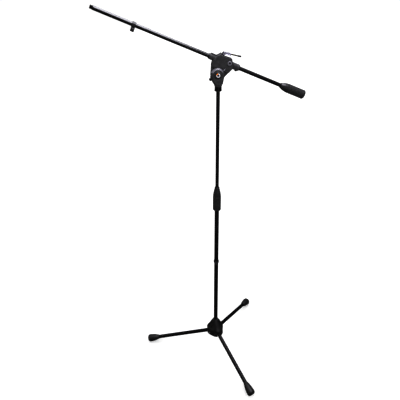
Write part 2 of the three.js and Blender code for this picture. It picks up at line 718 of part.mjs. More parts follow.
function camLever() {
  const roof = 4.2;
  const lipZ = -1.5;
  const earRadius = 4.8;
  const inner = LEVER_HALF_WIDTH - SHEET;
  const parts = [block([-2.5, -LEVER_HALF_WIDTH, roof], [LEVER_LENGTH, LEVER_HALF_WIDTH, roof + SHEET])];
  for (const side of [-1, 1]) {
    const [near, far] = side > 0 ? [inner, LEVER_HALF_WIDTH] : [-LEVER_HALF_WIDTH, -inner];
    parts.push(block([-2.5, near, 0], [4.8, far, roof + SHEET]));
    parts.push(block([0, near, lipZ], [LEVER_LENGTH, far, roof + SHEET]));
    parts.push(alongY(rod(earRadius, near, far, 24)));
    const lipReach = LEVER_HALF_WIDTH + 1.8;
    const [lipNear, lipFar] = side > 0 ? [inner, lipReach] : [-lipReach, -inner];
    parts.push(block([6, lipNear, lipZ], [LEVER_LENGTH, lipFar, lipZ + 1]));
  }
  const pinBore = alongY(rod(1.8, -LONG / 8, LONG / 8, 20));
  return cut(join(...parts), pinBore);
}

function cam(head) {
  const frame = frameAt(CAM_X, CAM_Z, -CAM_SLOPE);
  frame.add(piece('cam_lever', camLever(), BRIGHT_STEEL));
  const wire = alongX(rod(ROD_RADIUS, LEVER_LENGTH - 14, ROD_END, 16)).translate(0, ROD_Y, ROD_Z);
  frame.add(piece('lever_rod', wire, DULL_STEEL));
  const tip = alongX(turned([
    [0, ROD_END + GAP],
    [ROD_RADIUS + GAP, ROD_END + GAP],
    [ROD_RADIUS + GAP, ROD_END - 4],
    [2.6, ROD_END - 4],
    [3.1, ROD_END - 2.5],
    [3.1, ROD_END + 7],
    [2.2, ROD_END + 9.5],
    [0, ROD_END + 9.5],
  ], 20)).translate(0, ROD_Y, ROD_Z);
  frame.add(piece('lever_tip', tip, SOFT_GRIP));
  const pin = alongY(rod(1.5, -LEVER_HALF_WIDTH - 0.8, LEVER_HALF_WIDTH + 0.8, 20));
  frame.add(piece('cam_pin', pin, DULL_STEEL));
  head.add(frame);
}

// ---------------------------------------------------------------- boom

function micStud() {
  const tubeEnd = BOOM_TIP + STUD_LENGTH;
  return alongX(turned([
    [0, BOOM_TIP],
    [STUD_RADIUS - 0.6, BOOM_TIP],
    [STUD_RADIUS, BOOM_TIP + 0.6],
    [STUD_RADIUS, tubeEnd - 2.5],
    [BOOM_RADIUS, tubeEnd - 2.5],
    [BOOM_RADIUS, tubeEnd - GAP],
    [BOOM_BORE - GAP, tubeEnd - GAP],
    [BOOM_BORE - GAP, tubeEnd + 14],
    [0, tubeEnd + 14],
  ]));
}

function weight(boom) {
  const core = alongX(pipe(BOOM_RADIUS + GAP, 12.8, WEIGHT_START + 16, WEIGHT_END - 8));
  boom.add(piece('weight_core', core, DULL_STEEL));
  const nose = alongX(turned([
    [BOOM_RADIUS + GAP, WEIGHT_START],
    [8.6, WEIGHT_START],
    [11.5, WEIGHT_START + 7],
    [14.2, WEIGHT_START + 16],
    [15.8, WEIGHT_START + 25],
    [WEIGHT_RADIUS - 0.6, WEIGHT_SHOULDER - GAP],
    [13.2, WEIGHT_SHOULDER - GAP],
    [13.2, WEIGHT_SHOULDER - 7],
    [BOOM_RADIUS + GAP, WEIGHT_START + 15],
    [BOOM_RADIUS + GAP, WEIGHT_START],
  ], FINE_SIDES));
  const coreSpace = alongX(rod(12.8 + GAP, WEIGHT_START + 16 - GAP, WEIGHT_END));
  boom.add(piece('weight_nose', cut(nose, coreSpace), HARD_PLASTIC));
  const grip = alongX(ribbedSleeve(
    WEIGHT_RADIUS, WEIGHT_SHOULDER, WEIGHT_END - 5.5, CLUTCH_RIBS, 13.1, 0.5));
  boom.add(piece('weight_grip', grip, SOFT_GRIP));
  const cap = alongX(turned([
    [0, WEIGHT_END - 4.6],
    [13.1, WEIGHT_END - 4.6],
    [13.1, WEIGHT_END - 5.2],
    [WEIGHT_RADIUS, WEIGHT_END - 5.2],
    [WEIGHT_RADIUS, WEIGHT_END - 3],
    [WEIGHT_RADIUS - 2.4, WEIGHT_END],
    [0, WEIGHT_END],
  ], FINE_SIDES));
  boom.add(piece('weight_cap', cap, HARD_PLASTIC));
}

function boomAssembly(head) {
  const boom = new THREE.Group();
  boom.position.z = BOOM_HEIGHT;
  const tube = alongX(pipe(BOOM_BORE, BOOM_RADIUS, BOOM_TIP + STUD_LENGTH, BOOM_WEIGHT_END));
  boom.add(piece('boom_tube', tube, POWDER_COAT));
  boom.add(piece('mic_stud', micStud(), DULL_STEEL));
  const clip = alongX(cableClip(BOOM_RADIUS)).translate(BOOM_CLIP_X, 0, 0);
  boom.add(piece('boom_cable_clip', clip, HARD_PLASTIC));
  weight(boom);
  head.add(boom);
}

// ---------------------------------------------------------------- the whole stand

const stand = new THREE.Group();
tripod(stand);
pole(stand);
clutch(stand);
neck(stand);
const head = frameAt(PIVOT_X, PIVOT_Z, BOOM_TILT);
boomClamp(head);
cam(head);
boomAssembly(head);
stand.add(head);

// The origin is the middle of the whole stand's box, on the floor.
const box = new THREE.Box3().setFromObject(stand, true);
stand.position.set(-(box.min.x + box.max.x) / 2, -(box.min.y + box.max.y) / 2, -box.min.z);

export default stand;
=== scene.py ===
"""The boom microphone stand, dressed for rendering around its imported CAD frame.

Every visible piece is built here as a fine mesh in millimetres, in the local frame of the part it
belongs to, and rides on that part's body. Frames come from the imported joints.
"""

import json
import math

import bmesh
import bpy
from mathutils import Euler, Matrix, Vector


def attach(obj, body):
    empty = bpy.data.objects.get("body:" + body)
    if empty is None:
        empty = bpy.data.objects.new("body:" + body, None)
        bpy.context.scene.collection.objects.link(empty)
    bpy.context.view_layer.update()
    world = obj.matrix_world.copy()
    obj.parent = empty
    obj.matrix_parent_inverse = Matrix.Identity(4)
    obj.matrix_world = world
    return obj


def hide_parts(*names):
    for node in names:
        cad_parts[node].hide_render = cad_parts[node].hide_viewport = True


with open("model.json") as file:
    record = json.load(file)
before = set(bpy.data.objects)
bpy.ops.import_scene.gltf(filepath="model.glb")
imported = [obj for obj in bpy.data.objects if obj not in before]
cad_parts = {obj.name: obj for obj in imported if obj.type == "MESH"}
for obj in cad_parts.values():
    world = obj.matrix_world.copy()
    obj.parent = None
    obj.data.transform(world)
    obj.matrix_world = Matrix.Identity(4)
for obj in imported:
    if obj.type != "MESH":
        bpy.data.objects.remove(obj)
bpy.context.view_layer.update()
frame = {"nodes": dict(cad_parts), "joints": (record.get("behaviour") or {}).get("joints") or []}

# ---------------------------------------------------------------- dimensions, in millimetres

MM = 0.001
GAP = 0.3  # clearance between a moving piece and the piece it moves in
CURVE_STEPS, CORNER_STEPS = 6, 4

LEG_SLOPE = 14.16  # degrees below level
LEG_TUBE_RADIUS = 8.9
LEG_TUBE_BORE = 7.0
LEG_REACH = 330.0
FOOT_LENGTH = 57.0
FOOT_RADIUS = 18.2
FLOOR_CUT = 600.0  # half the size of the block that flattens each foot on the floor
PIN_RADIUS = 3.0

HUB_RADIUS = 43.5
HUB_BOTTOM = 83.0
HUB_SHOULDER = 119.0
HUB_TOP = 173.0
HUB_LOBE_DEPTH = 0.14
SLOT_HALF_WIDTH = 9.5

# Bore, radius, lower end and upper end of each pole tube.
LOWER_TUBE = (8.2, 9.4, 112.0, 861.0)
UPPER_TUBE = (5.8, 6.9, 500.0, 1335.5)
CLUTCH_BOTTOM, CLUTCH_SHOULDER, CLUTCH_TOP = 813.0, 879.0, 922.0
CLUTCH_RADIUS = 17.0
RIBS = 20

NECK_OFFSET = 4.0
NECK_BOTTOM = -60.0
NECK_RADIUS = 12.9
TUBE_IN_NECK = 14.0
CHEEK_RADIUS = 26.0
CHEEK_INNER, CHEEK_OUTER = 10.8, 16.0
YOKE_SLOT_RADIUS = 29.8
REAR_CHEEK_RADIUS = 21.0
# Height above the pivot where the grey rim, a painted highlight, and the shoulder cut it sits in
# stop.
CHEEK_RIM_BOTTOM = 9.0
BADGE_RADIUS, BADGE_HOLE = 7.0, 4.2
BOLT_RADIUS = 4.0

BOOM_HEIGHT = 48.5
CLAMP_HALF_WIDTH = 13.0
LOBE_RADIUS, LOBE_HALF_WIDTH = 24.0, 9.0
SLEEVE_RADIUS = 10.5
SLEEVE_START, SLEEVE_END = -53.0, 65.0
CLAMP_BORE = 8.7
BOSS_X, BOSS_Z = 23.5, 52.5
LOBE_CLEAR_Z = 20.0
CAM_X, CAM_Z, CAM_SLOPE = -7.0, 75.0, 9.0
LEVER_LENGTH, LEVER_HALF_WIDTH, SHEET = 25.0, 7.7, 1.4
ROD_RADIUS, ROD_END = 1.7, 57.0

BOOM_BORE, BOOM_RADIUS = 5.8, 6.9
BOOM_TIP, STUD_LENGTH, STUD_RADIUS = -476.0, 11.0, 6.3
THREAD_PITCH, THREAD_DEPTH = 1.6, 0.75
BOOM_WEIGHT_END = 340.0
WEIGHT_START, WEIGHT_SHOULDER, WEIGHT_END = 243.0, 275.0, 346.0
WEIGHT_RADIUS = 16.8
BOOM_CLIP_X, BOOM_CLIP_WIDTH = -329.0, 12.5

CLIP_WIDTH, CLIP_BAND, HOOK_BORE = 9.0, 2.2, 5.5
LOWER_CLIP_Z, LOWER_CLIP_TURN = 536.0, -100.0

FLOOR_RADIUS = 12000.0
LENS, SENSOR_WIDTH = 37.52, 36.0
# In metres from the foot of the pole, then in degrees.
CAMERA_PLACE = (-0.3183, -1.4974, 1.7333)
CAMERA_PITCH, CAMERA_HEADING, CAMERA_ROLL = 90 - 29.70, -9.326, -0.716

# ---------------------------------------------------------------- frames

JOINTS = {joint["name"]: joint for joint in frame["joints"]}


def joint_point(name):
    return Vector(JOINTS[name]["pos_m"])


def joint_axis(name):
    return Vector(JOINTS[name]["axis"]).normalized()


def frame_of(origin, x_axis, y_axis):
    matrix = Matrix((x_axis, y_axis, x_axis.cross(y_axis))).transposed().to_4x4()
    matrix.translation = origin
    return matrix


def turn(axis, degrees):
    return Matrix.Rotation(math.radians(degrees), 4, axis)


def shift(x=0.0, y=0.0, z=0.0):
    return Matrix.Translation(Vector((x, y, z)) * MM)


ACROSS = Vector((0, 1, 0))
UP = Vector((0, 0, 1))
POLE_POINT = joint_point("mast_swivel")
POLE = Matrix.Translation((POLE_POINT.x, POLE_POINT.y, 0))
NECK = Matrix.Translation(joint_point("head_tilt"))
HEAD = frame_of(joint_point("head_tilt"), -joint_axis("boom_slide"), ACROSS)
CAM = HEAD @ shift(CAM_X, 0, CAM_Z) @ turn("Y", -CAM_SLOPE)
BOOM = HEAD @ shift(0, 0, BOOM_HEIGHT)
ALONG_X = turn("Y", 90)
ALONG_Y = turn("X", -90)
TO_FRONT = turn("X", 90)


def leg_frame(index):
    """Origin on the hinge pin, X out along the leg."""
    axis = joint_axis(f"leg_{index}_fold")
    out = axis.cross(UP)
    slope = math.radians(LEG_SLOPE)
    along = out * math.cos(slope) - UP * math.sin(slope)
    return frame_of(joint_point(f"leg_{index}_fold"), along, axis)


# ---------------------------------------------------------------- outlines and solids


def arc(cx, cz, radius, start, end, steps):
    """Points round an arc, in degrees."""
    found = []
    for step in range(steps + 1):
        angle = math.radians(start + (end - start) * step / steps)
        found.append((cx + radius * math.cos(angle), cz + radius * math.sin(angle)))
    return found


def curve(start, pull, end):
    """The points after start of a quadratic curve."""
    found = []
    for step in range(1, CURVE_STEPS + 1):
        t = step / CURVE_STEPS
        found.append(tuple(
            (1 - t) ** 2 * a + 2 * t * (1 - t) * b + t * t * c
            for a, b, c in zip(start, pull, end)))
    return found


def softened(profile, radius):
    """Rounds the corners of a profile, leaving the points on the axis as they are."""
    closed = profile[0][0] > 0
    count = len(profile)
    found = []
    for index, point in enumerate(profile):
        if point[0] == 0 or (not closed and index in (0, count - 1)):
            found.append(point)
            continue
        before = Vector(profile[index - 1][:2])
        after = Vector(profile[(index + 1) % count][:2])
        here = Vector(point[:2])
        into, out = before - here, after - here
        trim = min(radius, into.length * 0.45, out.length * 0.45)
        a, b = here + into.normalized() * trim, here + out.normalized() * trim
        for step in range(CORNER_STEPS + 1):
            t = step / CORNER_STEPS
            spot = a * (1 - t) ** 2 + here * 2 * t * (1 - t) + b * t * t
            found.append((spot.x, spot.y) + tuple(point[2:]))
    return found


def mesh_object(verts, faces):
    mesh = bpy.data.meshes.new("piece")
    mesh.from_pydata(verts, [], faces)
    work = bmesh.new()
    work.from_mesh(mesh)
    bmesh.ops.recalc_face_normals(work, faces=work.faces)
    work.to_mesh(mesh)
    work.free()
    obj = bpy.data.objects.new("piece", mesh)
    bpy.context.scene.collection.objects.link(obj)
    return obj


def lathe(profile, sides=64, swell=None):
    """Turns a profile about Z.

    A point is (radius, height) or (radius, height, share). swell may change the radius by the
    height, by the share, which says how much of its relief applies there, and by the angle.
    """
    verts, rings = [], []
    for radius, height, *rest in profile:
        if radius == 0:
            rings.append([len(verts)] * sides)
            verts.append((0, 0, height))
            continue
        ring = []
        for side in range(sides):
            angle = 2 * math.pi * side / sides
            here = swell(radius, height, rest[0] if rest else 0, angle) if swell else radius
            ring.append(len(verts))
            verts.append((here * math.cos(angle), here * math.sin(angle), height))
        rings.append(ring)
    if profile[0][0] > 0:
        rings.append(rings[0])
    faces = []
    for low, high in zip(rings, rings[1:]):
        for side in range(sides):
            after = (side + 1) % sides
            corners = [low[side], low[after], high[after], high[side]]
            kept = [c for place, c in enumerate(corners) if c not in corners[:place]]
            if len(kept) > 2:
                faces.append(kept)
    return mesh_object(verts, faces)


def rod(radius, start, end, sides=64):
    return lathe([(0, start), (radius, start), (radius, end), (0, end)], sides)


def tube(bore, radius, start, end, sides=64, edge=0.4):
    profile = [(bore, start), (radius, start), (radius, end), (bore, end)]
    return lathe(softened(profile, edge), sides)


def ball(radius, steps=16, sides=32):
    profile = [(radius * math.sin(math.pi * s / steps), -radius * math.cos(math.pi * s / steps))
               for s in range(steps + 1)]
    profile[0], profile[-1] = (0, -radius), (0, radius)
    return lathe(profile, sides)


def block(low, high):
    verts = [(x, y, z)
             for x in (low[0], high[0]) for y in (low[1], high[1]) for z in (low[2], high[2])]
    faces = [(0, 1, 3, 2), (4, 6, 7, 5), (0, 4, 5, 1), (2, 3, 7, 6), (0, 2, 6, 4), (1, 5, 7, 3)]
    return mesh_object(verts, faces)


def prism(outline, y0, y1, edge=0.0, steps=3):
    """An outline in X and Z carried along Y, with its rim edges rounded."""
    count = len(outline)
    verts = [(x, y0, z) for x, z in outline] + [(x, y1, z) for x, z in outline]
    faces = [tuple(range(count)), tuple(range(2 * count - 1, count - 1, -1))]
    for side in range(count):
        after = (side + 1) % count
        faces.append((side, after, count + after, count + side))
    obj = mesh_object(verts, faces)
    if edge:
        work = bmesh.new()
        work.from_mesh(obj.data)
        work.faces.ensure_lookup_table()
        rim = [edge_of_cap for cap in work.faces[:2] for edge_of_cap in cap.edges]
        bmesh.ops.bevel(work, geom=rim, offset=edge, segments=steps, profile=0.5, affect="EDGES")
        work.to_mesh(obj.data)
        work.free()
    return obj


def rounded(obj, edge):
    """Bevels every sharp edge."""
    bevel = obj.modifiers.new("edges", "BEVEL")
    bevel.width, bevel.segments = edge, 3
    bevel.limit_method, bevel.angle_limit = "ANGLE", math.radians(35)
    return applied(obj)


def moved(obj, matrix):
    """Moves a millimetre mesh by a matrix whose shift is in metres."""
    in_mm = matrix.copy()
    in_mm.translation = matrix.translation / MM
    obj.data.transform(in_mm)
    return obj


def applied(obj):
    bpy.context.view_layer.update()
    graph = bpy.context.evaluated_depsgraph_get()
    mesh = bpy.data.meshes.new_from_object(obj.evaluated_get(graph))
    obj.modifiers.clear()
    obj.data = mesh
    return obj


def combined(obj, others, operation):
    for other in others:
        step = obj.modifiers.new("step", "BOOLEAN")
        step.operation, step.solver, step.object = operation, "MANIFOLD", other
    applied(obj)
    for other in others:
        bpy.data.objects.remove(other, do_unlink=True)
    return obj


def joined(obj, *others):
    return combined(obj, others, "UNION")


def cut(obj, *others):
    return combined(obj, others, "DIFFERENCE")


def cast(obj, voxel, passes=4):
    """Rounds a solid all over, as a casting or moulding is: remeshed evenly, then smoothed."""
    remesh = obj.modifiers.new("even", "REMESH")
    remesh.mode, remesh.voxel_size = "VOXEL", voxel
    smooth = obj.modifiers.new("soft", "SMOOTH")
    smooth.factor, smooth.iterations = 0.5, passes
    return applied(obj)


# ---------------------------------------------------------------- materials


def ramp(tree, value, low, high):
    """Maps a 0..1 value to the range between two numbers."""
    node = tree.nodes.new("ShaderNodeMapRange")
    tree.links.new(value, node.inputs["Value"])
    node.inputs["To Min"].default_value = low
    node.inputs["To Max"].default_value = high
    return node.outputs["Result"]


def noise(tree, place, scale, detail=4.0, roughness=0.55):
    node = tree.nodes.new("ShaderNodeTexNoise")
    tree.links.new(place, node.inputs["Vector"])
    node.inputs["Scale"].default_value = scale
    node.inputs["Detail"].default_value = detail
    node.inputs["Roughness"].default_value = roughness
    return node.outputs["Fac"]


def material(name, colour, tint, roughness, spread, grain, depth, mottle=60.0, drawn=None,
             worn=None, metallic=0.0, specular=0.5):
    """A surface whose colour, roughness and relief all vary.

    colour and tint are the two tones it drifts between, spread the change in roughness, grain the
    scale of the relief and depth its height in millimetres. drawn adds lines along Z, and worn is
    the tone and share of rubbed edges.
    """
    found = bpy.data.materials.new(name)
    found.use_nodes = True
    tree = found.node_tree
    shader = tree.nodes["Principled BSDF"]
    place = tree.nodes.new("ShaderNodeTexCoord").outputs["Object"]

    patches = noise(tree, place, mottle)
    sharper = tree.nodes.new("ShaderNodeMapRange")
    sharper.inputs["From Min"].default_value = 0.35
    sharper.inputs["From Max"].default_value = 0.65
    tree.links.new(patches, sharper.inputs["Value"])
    tone = tree.nodes.new("ShaderNodeMix")
    tone.data_type = "RGBA"
    tone.inputs["A"].default_value = (*colour, 1)
    tone.inputs["B"].default_value = (*tint, 1)
    tree.links.new(sharper.outputs["Result"], tone.inputs["Factor"])
    shade = tone.outputs["Result"]
    if worn:
        shine, share = worn
        edge = tree.nodes.new("ShaderNodeNewGeometry").outputs["Pointiness"]
        band = tree.nodes.new("ShaderNodeMapRange")
        band.inputs["From Min"].default_value = 0.52
        band.inputs["From Max"].default_value = 0.6
        tree.links.new(edge, band.inputs["Value"])
        breakup = tree.nodes.new("ShaderNodeMath")
        breakup.operation = "MULTIPLY"
        tree.links.new(band.outputs["Result"], breakup.inputs[0])
        tree.links.new(ramp(tree, noise(tree, place, 400.0), 0.0, 2 * share), breakup.inputs[1])
        rubbed = tree.nodes.new("ShaderNodeMix")
        rubbed.data_type = "RGBA"
        rubbed.clamp_factor = True
        rubbed.inputs["B"].default_value = (*shine, 1)
        tree.links.new(shade, rubbed.inputs["A"])
        tree.links.new(breakup.outputs["Value"], rubbed.inputs["Factor"])
        shade = rubbed.outputs["Result"]
    tree.links.new(shade, shader.inputs["Base Color"])

    fine = noise(tree, place, grain, 6.0, 0.6)
    relief = fine
    if drawn:
        stretch = tree.nodes.new("ShaderNodeMapping")
        stretch.inputs["Scale"].default_value = (1, 1, 0.01)
        tree.links.new(place, stretch.inputs["Vector"])
        lines = noise(tree, stretch.outputs["Vector"], drawn, 3.0)
        blend = tree.nodes.new("ShaderNodeMath")
        blend.operation = "ADD"
        tree.links.new(fine, blend.inputs[0])
        tree.links.new(lines, blend.inputs[1])
        relief = blend.outputs["Value"]
    tree.links.new(
        ramp(tree, noise(tree, place, mottle * 2.5), roughness - spread, roughness + spread),
        shader.inputs["Roughness"])
    bump = tree.nodes.new("ShaderNodeBump")
    bump.inputs["Strength"].default_value = 1.0
    bump.inputs["Distance"].default_value = depth * MM
    tree.links.new(relief, bump.inputs["Height"])
    tree.links.new(bump.outputs["Normal"], shader.inputs["Normal"])
    shader.inputs["Metallic"].default_value = metallic
    shader.inputs["Specular IOR Level"].default_value = specular
    return found


LOOKS = {
    "black_tube": material(
        "black powder coat", (0.0035, 0.0035, 0.0038), (0.0060, 0.0059, 0.0064), 0.34, 0.05,
        1500.0, 0.02, 25.0, drawn=900.0, worn=((0.05, 0.05, 0.05), 0.3), specular=0.35),
    "boom_gloss": material(
        "glossy black powder coat", (0.0020, 0.0020, 0.0024), (0.0036, 0.0036, 0.0042), 0.34, 0.05,
        1500.0, 0.015, 25.0, drawn=900.0, worn=((0.05, 0.05, 0.05), 0.3), specular=1.0),
    "leg_gloss": material(
        "black leg coat", (0.0025, 0.0025, 0.0027), (0.0045, 0.0044, 0.0048), 0.26, 0.05,
        1500.0, 0.02, 25.0, drawn=900.0, worn=((0.05, 0.05, 0.05), 0.3), specular=0.2),
    "foot_rubber": material(
        "black foot rubber", (0.0060, 0.0060, 0.0060), (0.0120, 0.0118, 0.0115), 0.50, 0.08,
        1200.0, 0.07, 120.0, worn=((0.05, 0.05, 0.05), 0.4), specular=0.45),
    # A lavender grey for painted highlights on black parts: the crescent on the front cheek's rim
    # and the ring round the clamp's boss.
    "painted_highlight_grey": material(
        "satin grey painted highlight", (0.105, 0.102, 0.118), (0.14, 0.136, 0.155), 0.42, 0.06,
        1200.0, 0.03, 90.0, worn=((0.16, 0.16, 0.17), 0.35), specular=0.7),
    "lever_steel": material(
        "plated lever sheet", (0.38, 0.37, 0.44), (0.44, 0.43, 0.50), 0.32, 0.06,
        900.0, 0.01, 60.0, metallic=1.0),
    "black_casting": material(
        "textured black casting", (0.026, 0.026, 0.027), (0.040, 0.0395, 0.040), 0.55, 0.07,
        1400.0, 0.10, 90.0, worn=((0.14, 0.14, 0.145), 0.35), specular=0.4),
    "hub_casting": material(
        "black hub casting", (0.0050, 0.0050, 0.0048), (0.018, 0.0176, 0.0168), 0.34, 0.10,
        260.0, 1.1, 55.0, worn=((0.22, 0.215, 0.20), 0.6), specular=0.8),
    "hard_plastic": material(
        "moulded black plastic", (0.014, 0.014, 0.0145), (0.020, 0.020, 0.021), 0.38, 0.06,
        1800.0, 0.03, 50.0, worn=((0.06, 0.06, 0.063), 0.3), specular=0.5),
    "soft_grip": material(
        "black rubber", (0.014, 0.014, 0.014), (0.024, 0.0238, 0.0235), 0.68, 0.08,
        1200.0, 0.07, 120.0, worn=((0.05, 0.05, 0.05), 0.4), specular=0.4),
    "bright_steel": material(
        "plated bright steel", (0.62, 0.62, 0.66), (0.54, 0.54, 0.58), 0.28, 0.05,
        900.0, 0.006, 40.0, metallic=1.0),
    "dull_steel": material(
        "zinc plated steel", (0.30, 0.30, 0.29), (0.42, 0.41, 0.38), 0.38, 0.08,
        1300.0, 0.015, 110.0, metallic=1.0),
    "lever_rod": material(
        "olive passivated wire", (0.030, 0.027, 0.014), (0.045, 0.040, 0.022), 0.45, 0.07,
        1300.0, 0.015, 150.0, drawn=700.0, metallic=1.0),
    "brass": material(
        "turned brass", (0.48, 0.32, 0.11), (0.58, 0.40, 0.15), 0.32, 0.06,
        900.0, 0.01, 90.0, metallic=1.0),
    "pale_plastic": material(
        "pale moulded plastic", (0.60, 0.59, 0.62), (0.72, 0.71, 0.74), 0.45, 0.06,
        1500.0, 0.02, 80.0),
    "orange_accent": material(
        "orange enamel", (0.80, 0.22, 0.015), (0.88, 0.29, 0.03), 0.40, 0.05,
        1200.0, 0.015, 200.0),
}


def piece(obj, name, where, body, slot, nodes, look=None, sharp=None):
    """Names a finished mesh, sets it in its frame, and ties it to its body and CAD nodes."""
    obj.data.transform(Matrix.Scale(MM, 4))
    obj.name = obj.data.name = name
    obj.matrix_world = where
    obj.data.materials.clear()
    obj.data.materials.append(LOOKS[look or slot])
    obj.data.shade_smooth()
    if sharp:
        obj.data.set_sharp_from_angle(angle=math.radians(sharp))
    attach(obj, body)
    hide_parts(*nodes)
    return obj


def dressed(node, look):
    """A CAD node that stays in view gets its finish."""
    mesh = frame["nodes"][node].data
    if mesh.materials:
        mesh.materials[0] = LOOKS[look]
    else:
        mesh.materials.append(LOOKS[look])


# ---------------------------------------------------------------- tripod


def hub():
    """The casting at the foot of the pole: a skirt with a slot for each leg, and a dome."""
    first = leg_frame(1).col[0]
    first_angle = math.atan2(first.y, first.x)

    def lobed(radius, height, _share, angle):
        fade = min(max((HUB_TOP - 13 - height) / (HUB_TOP - 13 - HUB_SHOULDER), 0), 1)
        return radius * (1 - HUB_LOBE_DEPTH * fade * (1 - math.cos(3 * (angle - first_angle))) / 2)

    dome = lathe(softened([
        (0, HUB_BOTTOM), (40.5, HUB_BOTTOM), (HUB_RADIUS, 86), (HUB_RADIUS, 89), (42.7, 90.2),
        (42.7, 115), (HUB_RADIUS, 116.2), (HUB_RADIUS, 118.6), (42, 122), (39.5, 125.5),
        (35, 131.5), (31, 139), (27, 147.5), (20, 159.5), (14.6, 168), (13.2, 169.4),
        (13.2, 171.4), (11.8, HUB_TOP), (0, HUB_TOP)], 1.4), 144, lobed)
    cuts = [
        rod(5.0, HUB_BOTTOM - 1, 113), rod(11.3, HUB_BOTTOM - 1, HUB_BOTTOM + 6),
        rod(LOWER_TUBE[1] + GAP, LOWER_TUBE[2] - GAP, HUB_TOP + 1)]
    for index in (1, 2, 3):
        leg_in_pole = POLE.inverted() @ leg_frame(index)
        inner = -LEG_TUBE_RADIUS - 1.2
        slot = block((inner, -SLOT_HALF_WIDTH, -100), (100, SLOT_HALF_WIDTH, SLOT_HALF_WIDTH))
        cuts.append(moved(slot, leg_in_pole))
        cuts.append(moved(rod(PIN_RADIUS + GAP, -100, 100, 32), leg_in_pole @ ALONG_Y))
        for side in (0, 180):
            spot = rod(5.2, 21.4, 60, 48)
            cuts.append(moved(spot, leg_in_pole @ ALONG_Y @ turn("X", side)))
        valley = Matrix.Rotation(first_angle + math.radians(60 + 120 * index), 4, "Z")
        cuts.append(moved(ball(14.0, 24, 48), valley @ shift(46.0, 0, 104.0)))
    cut(dome, *cuts)
    piece(cast(dome, 0.8, 4), "hub_casting", POLE, "base", "hub_casting", ["hub_dome"])


def leg(index):
    here = leg_frame(index)
    body = f"leg_{index}"
    pin_half = 23.5
    pin = lathe(softened([
        (0, -pin_half), (2.0, -pin_half), (PIN_RADIUS, -pin_half + 1.0),
        (PIN_RADIUS, pin_half - 1.0), (2.0, pin_half), (0, pin_half)], 0.5), 40)
    for side in (0, 180):
        head = lathe(softened([
            (0, 21.7), (4.5, 21.7), (4.5, 23.2), (3.8, 24.4), (2.2, 25.2), (0, 25.4)], 0.6), 40)
        joined(pin, moved(head, turn("X", side)))
    piece(pin, f"hinge_pin_with_heads_{index}", here @ ALONG_Y, "base", "dull_steel",
          [f"hinge_pin_{index}"], sharp=40)

    half = 7.6
    knuckle = lathe(softened([
        (0, -half), (LEG_TUBE_RADIUS, -half), (LEG_TUBE_RADIUS, half), (0, half)], 1.2), 64)
    moved(knuckle, ALONG_Y)
    collar = moved(rod(LEG_TUBE_RADIUS - 0.4, 0, LEG_TUBE_RADIUS + 1.5), ALONG_X)
    collar = combined(collar, [block((-1, -half, -20), (20, half, 20))], "INTERSECT")
    stem = moved(rod(LEG_TUBE_BORE - GAP, 0, 46), ALONG_X)
    joined(knuckle, collar, stem)
    cut(knuckle, moved(rod(PIN_RADIUS + GAP, -50, 50, 40), ALONG_Y))
    piece(cast(knuckle, 0.5, 2), f"leg_knuckle_casting_{index}", here, body, "black_casting",
          [f"leg_knuckle_{index}"])

    shell = tube(LEG_TUBE_BORE, LEG_TUBE_RADIUS, LEG_TUBE_RADIUS + 1.8, LEG_REACH - 12)
    piece(shell, f"leg_tube_shell_{index}", here @ ALONG_X, body, "black_tube",
          [f"leg_tube_{index}"], look="leg_gloss", sharp=50)

    start = LEG_REACH - FOOT_LENGTH
    bore = LEG_TUBE_RADIUS + GAP
    boot = lathe(softened([
        (0, LEG_REACH - 12 + GAP), (bore, LEG_REACH - 12 + GAP), (bore, start), (10.2, start),
        (10.8, start + 1.6), (10.4, start + 2.4), (11.2, start + 3.2), (11.5, start + 5.2),
        (11.2, start + 6.0), (12.6, start + 9), (14.2, start + 15), (15.6, start + 22),
        (16.8, start + 30), (17.7, start + 38), (FOOT_RADIUS, start + 45),
        (FOOT_RADIUS, start + 49), (17.6, start + 52.6), (15.2, start + 56.2), (13.6, LEG_REACH),
        (8.4, LEG_REACH), (8.0, LEG_REACH - 0.9), (5.6, LEG_REACH - 0.9), (5.2, LEG_REACH),
        (0, LEG_REACH)], 0.9), 96)
    below_floor = block((-FLOOR_CUT, -FLOOR_CUT, -FLOOR_CUT), (FLOOR_CUT, FLOOR_CUT, 0))
    over_pin = Matrix.Translation((here.translation.x, here.translation.y, 0))
    cut(boot, moved(below_floor, (here @ ALONG_X).inverted() @ over_pin))
    piece(boot, f"rubber_foot_{index}", here @ ALONG_X, body, "soft_grip", [f"leg_foot_{index}"],
          look="foot_rubber", sharp=45)


# ---------------------------------------------------------------- cable clips


def cable_clip(name, tube_radius, where, body, node, width=CLIP_WIDTH):
    half = width / 2
    band = tube_radius + GAP + CLIP_BAND
    hook_x = band + HOOK_BORE + 0.4
    clip = rod(band, -half, half)
    hook = moved(rod(HOOK_BORE + CLIP_BAND, -half, half), shift(hook_x))
    joined(clip, hook)
    cut(clip,
        rod(tube_radius + GAP, -half - 1, half + 1),
        moved(rod(HOOK_BORE, -half - 1, half + 1), shift(hook_x)),
        block((hook_x - 2.2, 0, -half - 1), (hook_x + 3.2, 50, half + 1)))
    piece(cast(clip, 0.4, 3), name, where, body, "hard_plastic", [node])


# ---------------------------------------------------------------- pole


def flute(count, depth):
    """Shallow grooves round a grip, where the profile allows them."""
    def swell(radius, _height, share, angle):
        return radius - depth * share * (0.5 - 0.5 * math.cos(count * angle)) ** 3
    return swell


